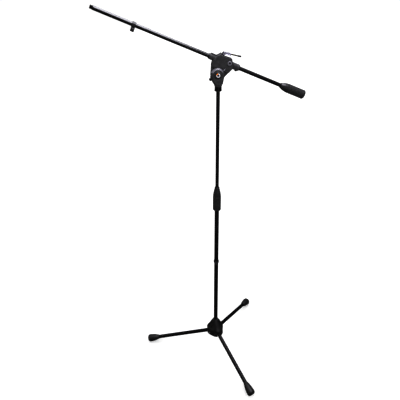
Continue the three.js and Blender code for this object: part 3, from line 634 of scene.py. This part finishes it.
def pole():
    piece(tube(*LOWER_TUBE, edge=0.5), "lower_tube_shell", POLE, "base", "black_tube",
          ["lower_tube"], sharp=50)
    piece(tube(*UPPER_TUBE, edge=0.5), "upper_tube_shell", POLE, "mast", "black_tube",
          ["upper_tube"], sharp=50)
    cable_clip("lower_clip_moulding", LOWER_TUBE[1],
               POLE @ shift(0, 0, LOWER_CLIP_Z) @ turn("Z", LOWER_CLIP_TURN),
               "lower_clip", "lower_cable_clip")
    low, top, radius = CLUTCH_BOTTOM, CLUTCH_SHOULDER, CLUTCH_RADIUS
    grip = lathe([
        (12.7, top), (12.7, low + 0.4, 0), (13.1, low, 0), (13.6, low, 0), (14.6, low + 0.3, 0),
        (15.8, low + 1.1, 0.1), (16.6, low + 2.2, 0.4), (radius, low + 3.6, 0.8),
        (radius, low + 5, 1), (radius, low + 20, 1), (radius, low + 38, 1), (radius, top - 6, 1),
        (radius, top - 4.4, 0.7), (radius, top - 3.4, 0), (16.3, top - 3.0, 0),
        (16.3, top - 2.2, 0), (radius, top - 1.8, 0), (radius, top - 0.6, 0), (16.6, top, 0)],
        RIBS * 10, flute(RIBS, 1.1))
    piece(grip, "clutch_grip_rubber", POLE, "clutch", "soft_grip", ["clutch_grip"], sharp=50)
    nose = lathe(softened([
        (12.7, top + GAP), (16.4, top + GAP), (16.3, top + 5), (15.7, top + 11), (14.6, top + 18),
        (13.2, top + 25), (11.6, top + 32), (10.2, top + 37.5), (9.9, top + 39),
        (10.2, top + 39.6), (10.2, top + 42), (9.0, CLUTCH_TOP), (7.3, CLUTCH_TOP),
        (7.3, top + 20), (12.7, top + 4)], 0.8), 96)
    piece(nose, "clutch_nose_moulding", POLE, "clutch", "hard_plastic", ["clutch_nose"], sharp=50)


# ---------------------------------------------------------------- neck and tilt pivot


def neck():
    top = -26.0
    foot = NECK_BOTTOM
    barrel = lathe(softened([
        (0, foot), (12.4, foot), (13.3, foot + 1.0), (13.3, foot + 4.6), (12.7, foot + 5.6),
        (NECK_RADIUS, foot + 7), (NECK_RADIUS, top), (0, top)], 0.8), 96)
    moved(barrel, shift(NECK_OFFSET))
    inside, outside = NECK_RADIUS - 0.4, NECK_RADIUS + 0.15
    wrap = lathe(softened([
        (inside, foot + 1.5), (13.5, foot + 1.5), (13.5, foot + 4.6), (outside, foot + 6.4),
        (outside, -41), (inside, -40)], 0.3), 96)
    piece(moved(wrap, shift(NECK_OFFSET)), "neck_barrel_finish", NECK, "mast", "black_casting",
          ["neck_yoke"], look="black_tube", sharp=50)
    face = CHEEK_OUTER
    # Painted highlight: the upper part of the front cheek's rim is a grey ring that stands for
    # where the overhead light catches the rim. The cut below keeps it above the pivot, and the
    # lower rim stays black.
    rim = lathe(softened([
        (17.6, face - 1.4), (17.8, face), (19.0, face + 0.1), (25.2, face - 4.9),
        (26.1, face - 6.3), (25.0, face - 6.7)], 0.5), 128)
    below = block((-40, -40, 0), (40, CHEEK_RIM_BOTTOM, 40))
    piece(cut(rim, below), "cheek_rim_painted_highlight", NECK @ TO_FRONT, "mast", "black_casting",
          ["neck_yoke"], look="painted_highlight_grey", sharp=50)
    outline = arc(0, 0, CHEEK_RADIUS, -28, 208, 60)
    outline += [(NECK_OFFSET - NECK_RADIUS, -48), (NECK_OFFSET + NECK_RADIUS, -48)]
    cheeks = prism(outline, -CHEEK_OUTER, CHEEK_OUTER, 4.4, 1)
    funnel = moved(lathe([
        (NECK_RADIUS, -44), (14.5, -38), (19, -31), (30, -19), (60, -19), (60, -60),
        (NECK_RADIUS, -60)], 96), shift(NECK_OFFSET))
    cut(cheeks, funnel)
    shoulder = lathe([
        (17.2, face + 1), (17.2, face - 1.0), (24.6, face - 6.6), (40, face - 6.6),
        (40, face + 1)], 128)
    lower_part = block((-60, -60, 0), (60, CHEEK_RIM_BOTTOM, 60))
    cut(shoulder, lower_part)
    cut(cheeks, moved(shoulder, TO_FRONT))
    joined(cheeks, barrel)
    rear_trim = lathe([
        (REAR_CHEEK_RADIUS, CHEEK_INNER - 0.5), (60, CHEEK_INNER - 0.5), (60, 30),
        (REAR_CHEEK_RADIUS, 30)], 96)
    cut(rear_trim, block((-80, 8, -80), (80, 80, 80)))
    recess = lathe([(13.2, CHEEK_OUTER - 0.9), (16.6, CHEEK_OUTER - 0.9),
                    (17.4, CHEEK_OUTER + 1), (12.4, CHEEK_OUTER + 1)], 96)
    cut(cheeks,
        moved(rod(YOKE_SLOT_RADIUS, -CHEEK_INNER, CHEEK_INNER, 96), ALONG_Y),
        moved(rear_trim, ALONG_Y),
        block((0, -CHEEK_INNER, GAP - YOKE_SLOT_RADIUS), (50, CHEEK_INNER, 0)),
        moved(rod(UPPER_TUBE[1] + GAP, foot - 1, foot + TUBE_IN_NECK + GAP), shift(NECK_OFFSET)),
        moved(rod(BOLT_RADIUS + GAP, -50, 50, 48), ALONG_Y),
        moved(recess, TO_FRONT))
    piece(cast(cheeks, 0.55, 3), "neck_yoke_casting", NECK, "mast", "black_casting", ["neck_yoke"])

    front = CHEEK_OUTER + GAP
    bore = BOLT_RADIUS + GAP
    cap = lathe(softened([
        (bore, front), (12, front), (12, front + 1.0), (10.8, front + 2), (bore, front + 2)],
        0.4), 96)
    piece(cap, "pivot_cap_disc", NECK @ TO_FRONT, "mast", "hard_plastic", ["pivot_cap"], sharp=50)
    seat = front + 2 + GAP
    bolt = lathe(softened([
        (0, -33), (3.4, -33), (BOLT_RADIUS, -32.2), (BOLT_RADIUS, seat), (4.6, seat),
        (4.6, seat + 1.3), (3.8, seat + 2), (2.7, seat + 2), (2.4, seat + 0.6), (0, seat + 0.5)],
        0.3), 64)
    piece(bolt, "pivot_bolt_turned", NECK @ TO_FRONT, "mast", "dull_steel", ["pivot_bolt"],
          look="hard_plastic", sharp=50)
    for name, node, look, start, end in (
            ("pivot_ring_disc", "pivot_ring", "pale_plastic", 172, 448),
            ("index_mark_enamel", "index_mark", "orange_accent", 94, 166)):
        steps = int((end - start) / 4)
        outline = arc(0, 0, BADGE_RADIUS, start, end, steps)
        outline += arc(0, 0, BADGE_HOLE, end, start, steps)
        sector = prism(outline, -seat - 1.2, -seat, 0.3, 2)
        piece(sector, name, NECK, "mast", look, [node], sharp=50)


def tilt_handle():
    half, ball_radius, depth = 30.0, 6.0, 29.0
    nut = lathe(softened([
        (0, CHEEK_OUTER + GAP), (9.5, CHEEK_OUTER + GAP), (9.5, CHEEK_OUTER + 6), (8, 35),
        (0, 35)], 1.2), 64)
    moved(nut, ALONG_Y)
    lean = shift(0, depth, 0) @ turn("Y", -52)
    bar = lathe([
        (0, -half), (4.4, -half), (3.7, -16), (4.6, 0), (3.7, 16), (4.4, half), (0, half)], 48)
    joined(nut, moved(bar, lean @ ALONG_X))
    for end in (-half, half):
        joined(nut, moved(ball(ball_radius), lean @ shift(end)))
    cut(nut, moved(rod(BOLT_RADIUS + GAP, 0, 34, 48), ALONG_Y))
    piece(cast(nut, 0.5, 4), "tilt_handle_moulding", NECK, "handle", "hard_plastic",
          ["tilt_handle"])


# ---------------------------------------------------------------- boom clamp


def clamp():
    outline = arc(0, 0, LOBE_RADIUS, 197, 343, 40) + [(42.5, 39), (40, 56), (31.5, 62), (26.8, 69)]
    outline += curve((26.8, 69), (25.8, 70.4), (24, 70.2)) + [(0, 68.3), (-19, 68.3), (-28, 61)]
    outline += [(-36, 42), (-34.5, 26), (-29.5, 12)]
    shield = prism(outline, -CLAMP_HALF_WIDTH, CLAMP_HALF_WIDTH, 2.6, 3)
    start, end, radius = SLEEVE_START, SLEEVE_END, SLEEVE_RADIUS
    sleeve = lathe(softened([
        (0, start), (radius - 1.6, start), (radius, start + 3.5), (radius, end - 31),
        (radius + 1.3, end - 29.5), (radius + 1.3, end - 1), (radius, end), (0, end)], 0.8), 96)
    moved(sleeve, shift(0, 0, BOOM_HEIGHT) @ ALONG_X)
    top = BOOM_HEIGHT + radius
    rib = prism([(start + 1, top - 3), (start + 4, top + 2.4), (-26, top + 2.4), (-21, top - 3)],
                -5.5, 5.5, 0.8, 2)
    tooth = prism([(-27, 60), (-14, 60), (-14, 73), (-15, 73.8), (-17.5, 73), (-27, 62)],
                  -9, 9, 0.9, 2)
    nub = moved(rod(4.2, -5, BOOM_HEIGHT - 1), shift(end - 7.5, 0, BOOM_HEIGHT) @ turn("X", 180))
    nub = combined(nub, [block((end - 14, -6, BOOM_HEIGHT - radius - 4), (end, 6, BOOM_HEIGHT))],
                   "INTERSECT")
    lug_top = moved(rod(3.8, -5.8, 5.8, 48), shift(CAM_X, 0, CAM_Z) @ ALONG_Y)
    lug = block((CAM_X - 3.8, -5.8, BOOM_HEIGHT + 10), (CAM_X + 3.8, 5.8, CAM_Z))
    joined(shield, sleeve, rib, tooth, nub, lug, lug_top)
    below = block((-60, -60, -60), (60, 60, LOBE_CLEAR_Z))
    cut(below, block((-90, -LOBE_HALF_WIDTH, -90), (90, LOBE_HALF_WIDTH, 90)))
    around_lobe = lathe([(CHEEK_RADIUS, -50), (50, -50), (50, 50), (CHEEK_RADIUS, 50)], 96)
    waste = combined(moved(around_lobe, ALONG_Y), [below], "INTERSECT")
    at_boss = shift(BOSS_X, 0, BOSS_Z) @ ALONG_Y
    boss_seat = rod(7.9, -50, -CLAMP_HALF_WIDTH + 1.0, 64)
    cut(shield,
        moved(rod(CLAMP_BORE, -100, 100), shift(0, 0, BOOM_HEIGHT) @ ALONG_X),
        moved(boss_seat, at_boss),
        moved(rod(2.3, -50, -SLEEVE_RADIUS + 2.5, 32), at_boss),
        moved(rod(1.8, -50, 50, 32), shift(CAM_X, 0, CAM_Z) @ ALONG_Y),
        block((CAM_X - 2.3, -2.9, BOOM_HEIGHT), (CAM_X + 2.3, 2.9, CAM_Z - 5.5)),
        moved(rod(BOLT_RADIUS + GAP, -50, 50, 48), ALONG_Y),
        moved(rod(CHEEK_RADIUS + 1.2, LOBE_HALF_WIDTH, 50, 96), ALONG_Y),
        moved(rod(CHEEK_RADIUS + 1.2, -50, -LOBE_HALF_WIDTH, 96), ALONG_Y),
        waste)
    piece(cast(shield, 0.5, 2), "clamp_casting", HEAD, "head", "black_casting", ["clamp_body"])
    face = CLAMP_HALF_WIDTH + 2.4
    # Painted highlight: the ring round the boss is coloured grey. It stands for the highlight ring
    # that the light makes on the boss.
    ring = lathe(softened([
        (3.7, face - 1.6), (4.6, face - 3.2), (7.8, face - 3.2), (8.3, face - 2.2),
        (8.0, face - 1.4), (6.4, face), (4.6, face)], 0.4), 64)
    piece(ring, "boss_ring", HEAD @ shift(BOSS_X, 0, BOSS_Z) @ TO_FRONT, "head", "black_casting",
          ["clamp_body"], look="painted_highlight_grey", sharp=50)

    for name, node, near, far, rim in (
            ("mic_side_bush_moulding", "mic_side_bush", start - GAP, start + 24, -1),
            ("weight_side_bush_moulding", "weight_side_bush", end + GAP, end - 24, 1)):
        outer, flange = CLAMP_BORE - GAP, SLEEVE_RADIUS - 1
        bush = lathe(softened([
            (BOOM_RADIUS + GAP, near + rim * 1.5), (flange, near + rim * 1.5), (flange, near),
            (outer, near), (outer, far), (BOOM_RADIUS + GAP, far)], 0.3), 96)
        piece(bush, name, BOOM @ ALONG_X, "bushes", "hard_plastic", [node], sharp=50)

    screw = lathe(softened([
        (0, 9.0), (1.6, 9.0), (2, 9.6), (2, 12.4), (4, 12.4), (4, 13.0), (3.5, 13.6), (2.1, 13.6),
        (2.0, 12.8), (0, 12.6)], 0.25), 48)
    piece(screw, "clamp_screw_turned", HEAD @ shift(BOSS_X, 0, BOSS_Z) @ TO_FRONT, "head",
          "dull_steel", ["clamp_screw"], look="hard_plastic", sharp=50)
    front, foot = -CHEEK_OUTER - 0.6, CHEEK_RADIUS + 1.8
    pointer = joined(
        block((foot, front, -2.2), (34.5, -CLAMP_HALF_WIDTH - GAP, 2.2)),
        block((foot - 3.4, front, -2.2), (foot + 0.2, front + 1.2, 2.2)))
    rounded(pointer, 0.4)
    piece(pointer, "tilt_pointer_tab", HEAD @ turn("Y", -61), "head", "bright_steel",
          ["tilt_pointer"], sharp=50)


def cam():
    roof, lip = 4.2, -1.5
    inner, outer = LEVER_HALF_WIDTH - SHEET, LEVER_HALF_WIDTH
    lever = block((-2.5, -outer, roof), (LEVER_LENGTH, outer, roof + SHEET))
    for side in (-1, 1):
        near, far = sorted((side * inner, side * outer))
        joined(lever,
               block((-2.5, near, 0), (4.8, far, roof + SHEET)),
               block((0, near, lip), (LEVER_LENGTH, far, roof + SHEET)),
               moved(rod(4.8, near, far, 64), ALONG_Y))
        lip_near, lip_far = sorted((side * inner, side * (outer + 1.8)))
        joined(lever, block((6, lip_near, lip), (LEVER_LENGTH, lip_far, lip + 1.1)))
    cut(lever, moved(rod(1.8, -50, 50, 40), ALONG_Y))
    piece(cast(lever, 0.3, 2), "cam_lever_sheet", CAM, "lever", "bright_steel", ["cam_lever"],
          look="lever_steel")
    wire_line = CAM @ shift(0, 4.2, 2.0) @ ALONG_X
    wire = lathe(softened([
        (0, LEVER_LENGTH - 14), (ROD_RADIUS, LEVER_LENGTH - 14), (ROD_RADIUS, LEVER_LENGTH + 0.5),
        (2.3, LEVER_LENGTH + 1.5), (2.3, 51.5), (ROD_RADIUS, 52.5), (ROD_RADIUS, ROD_END),
        (0, ROD_END)], 0.4), 40)
    piece(wire, "lever_rod_wire", wire_line, "lever", "dull_steel", ["lever_rod"],
          look="lever_rod", sharp=50)
    sleeve = lathe(softened([
        (0, ROD_END + GAP), (ROD_RADIUS + GAP, ROD_END + GAP), (ROD_RADIUS + GAP, 53), (2.7, 53),
        (3.1, 54.4), (3.1, 55.4), (2.8, 56), (3.1, 56.6), (3.1, 64), (2.4, 66.0), (1.2, 66.5),
        (0, 66.5)], 0.5), 48)
    piece(sleeve, "lever_tip_sleeve", wire_line, "lever", "soft_grip", ["lever_tip"], sharp=50)


# ---------------------------------------------------------------- boom


def thread(pitch, depth):
    def swell(radius, height, share, angle):
        turn_part = (height / pitch - angle / (2 * math.pi)) % 1.0
        return radius - depth * share * (1 - abs(2 * turn_part - 1))
    return swell


def boom():
    along = BOOM @ ALONG_X
    shell_start = BOOM_TIP + STUD_LENGTH
    piece(tube(BOOM_BORE, BOOM_RADIUS, shell_start, BOOM_WEIGHT_END, edge=0.5), "boom_tube_shell",
          along, "boom", "black_tube", ["boom_tube"], look="boom_gloss", sharp=50)

    profile = [(0, BOOM_TIP), (STUD_RADIUS - 1.0, BOOM_TIP), (STUD_RADIUS - 0.4, BOOM_TIP + 0.5)]
    steps = 70
    length = STUD_LENGTH - 3.4
    for step in range(steps + 1):
        height = BOOM_TIP + 0.8 + length * step / steps
        fade = min(1.0, 6 * step / steps, 6 * (steps - step) / steps)
        profile.append((STUD_RADIUS, height, fade))
    collar = shell_start - 2.4
    profile += [
        (BOOM_RADIUS - 0.5, collar), (BOOM_RADIUS, collar + 0.5), (BOOM_RADIUS, shell_start - 0.5),
        (BOOM_RADIUS - 0.4, shell_start - GAP), (BOOM_BORE - GAP, shell_start - GAP),
        (BOOM_BORE - GAP, shell_start + 14), (0, shell_start + 14)]
    piece(lathe(profile, 72, thread(THREAD_PITCH, THREAD_DEPTH)), "mic_stud_thread", along, "boom",
          "dull_steel", ["mic_stud"], look="leg_gloss", sharp=60)
    cable_clip("boom_clip_moulding", BOOM_RADIUS, BOOM @ shift(BOOM_CLIP_X) @ ALONG_X, "boom_clip",
               "boom_cable_clip", BOOM_CLIP_WIDTH)

    start, shoulder, end, radius = WEIGHT_START, WEIGHT_SHOULDER, WEIGHT_END, WEIGHT_RADIUS
    bore = BOOM_RADIUS + GAP
    nose = lathe(softened([
        (bore, start), (8.9, start), (9.3, start + 1.2), (9.3, start + 2.4), (10.4, start + 4.4),
        (12.4, start + 9), (14.2, start + 15.5), (15.6, start + 23), (16.4, shoulder - 1.8),
        (16.0, shoulder - GAP), (13.2, shoulder - GAP), (13.2, start + 15.6),
        (bore, start + 15.6)], 0.8), 96)
    piece(nose, "weight_nose_moulding", along, "boom", "hard_plastic", ["weight_nose"], sharp=50)
    last = end - 5.5
    grip = lathe([
        (13.1, shoulder, 0), (15.9, shoulder, 0), (16.5, shoulder + 0.4, 0),
        (radius, shoulder + 1.2, 0), (radius, shoulder + 2.2, 0.6), (radius, shoulder + 3.4, 1),
        (radius, shoulder + 24, 1), (radius, shoulder + 46, 1), (radius, last - 4.4, 1),
        (radius, last - 3.2, 0.5), (radius, last - 2.4, 0), (radius, last - 0.8, 0),
        (16.5, last - 0.2, 0), (16, last, 0), (13.1, last, 0)], RIBS * 10, flute(RIBS, 0.8))
    piece(grip, "weight_grip_rubber", along, "boom", "soft_grip", ["weight_grip"], sharp=50)
    cap = lathe(softened([
        (0, end - 4.6), (13.1, end - 4.6), (13.1, end - 5.2), (radius, end - 5.2),
        (radius, end - 1.6), (radius - 1.4, end), (11.6, end), (10.8, end - 0.8),
        (4.4, end - 0.8), (3.8, end - 0.2), (0, end - 0.2)], 0.5), 96)
    piece(cap, "weight_cap_moulding", along, "boom", "hard_plastic", ["weight_cap"], sharp=50)


hub()
for number in (1, 2, 3):
    leg(number)
pole()
neck()
tilt_handle()
clamp()
cam()
boom()
for kept, finish in (
        ("tube_plug", "hard_plastic"), ("hub_bolt", "dull_steel"), ("hub_washer", "dull_steel"),
        ("mast_guide", "pale_plastic"), ("clutch_seat", "hard_plastic"),
        ("clutch_collet", "brass"), ("front_friction_washer", "hard_plastic"),
        ("rear_friction_washer", "hard_plastic"), ("clamp_shoe", "hard_plastic"),
        ("weight_core", "dull_steel"), ("cam_pin", "dull_steel")):
    dressed(kept, finish)

# ---------------------------------------------------------------- floor, light and camera


def floor():
    """A wide pale disc that glows a little, so that it stays as light as the background."""
    disc = lathe([(0, -6.0), (FLOOR_RADIUS, -6.0), (FLOOR_RADIUS, 0.0), (0, 0.0)], 96)
    disc.data.transform(Matrix.Scale(MM, 4))
    disc.name = "studio_floor"
    pale = bpy.data.materials.new("pale floor")
    pale.use_nodes = True
    tree = pale.node_tree
    shader = tree.nodes["Principled BSDF"]
    place = tree.nodes.new("ShaderNodeTexCoord").outputs["Object"]
    tone = tree.nodes.new("ShaderNodeMix")
    tone.data_type = "RGBA"
    tone.inputs["A"].default_value = (0.90, 0.90, 0.90, 1)
    tone.inputs["B"].default_value = (0.93, 0.93, 0.93, 1)
    tree.links.new(noise(tree, place, 3.0), tone.inputs["Factor"])
    tree.links.new(tone.outputs["Result"], shader.inputs["Base Color"])
    shader.inputs["Roughness"].default_value = 0.9
    shader.inputs["Specular IOR Level"].default_value = 0.1
    shader.inputs["Emission Color"].default_value = (1, 1, 1, 1)
    shader.inputs["Emission Strength"].default_value = 0.32
    disc.data.materials.append(pale)
    disc.visible_glossy = False
    return disc


def softbox(name, spot, aim, width, height, radiance, colour, unlit):
    """A rectangular light, in metres, that lights the stand but not the objects in unlit."""
    light = bpy.data.lights.new(name, "AREA")
    light.shape = "RECTANGLE"
    light.size, light.size_y = width, height
    light.energy = radiance * math.pi * width * height
    light.color = colour
    obj = bpy.data.objects.new(name, light)
    bpy.context.scene.collection.objects.link(obj)
    spot, aim = Vector(spot), Vector(aim)
    obj.location = spot
    obj.rotation_euler = (aim - spot).to_track_quat("-Z", "Y").to_euler()
    obj.light_linking.receiver_collection = unlit
    return obj


def studio(ground):
    world = bpy.data.worlds.new("studio")
    bpy.context.scene.world = world
    world.use_nodes = True
    backdrop = world.node_tree.nodes["Background"]
    backdrop.inputs["Color"].default_value = (1, 1, 1, 1)
    backdrop.inputs["Strength"].default_value = 1.05
    world.cycles_visibility.glossy = False
    unlit = bpy.data.collections.new("not lit by the softboxes")
    unlit.objects.link(ground)
    unlit.collection_objects[0].light_linking.link_state = "EXCLUDE"
    lavender = (0.93, 0.92, 1.0)
    white = (1, 1, 1)
    softbox("overhead_softbox", (0.55, -0.15, 3.5), (0.55, -0.15, 0), 1.5, 3.6, 11.0, lavender,
            unlit)
    softbox("left_softbox", (-2.0, 0.9, 2.3), (0, 0, 0.6), 1.6, 1.6, 3.0, white, unlit)
    softbox("front_softbox", (0.6, -2.95, 1.15), (0, 0, 1.3), 1.2, 1.0, 1.6, lavender, unlit)
    bpy.context.scene.view_settings.view_transform = "Standard"
    bpy.context.scene.view_settings.gamma = 0.7


def camera():
    lens = bpy.data.cameras.new("camera")
    lens.lens, lens.sensor_width = LENS, SENSOR_WIDTH
    obj = bpy.data.objects.new("camera", lens)
    bpy.context.scene.collection.objects.link(obj)
    aim = Euler((math.radians(CAMERA_PITCH), 0, math.radians(CAMERA_HEADING))).to_matrix()
    roll = Matrix.Rotation(math.radians(CAMERA_ROLL), 3, "Z")
    x, y, z = CAMERA_PLACE
    place = Matrix.Translation((POLE_POINT.x + x, POLE_POINT.y + y, z))
    obj.matrix_world = place @ (aim @ roll).to_4x4()
    bpy.context.scene.camera = obj


studio(floor())
camera()

bpy.context.view_layer.update()
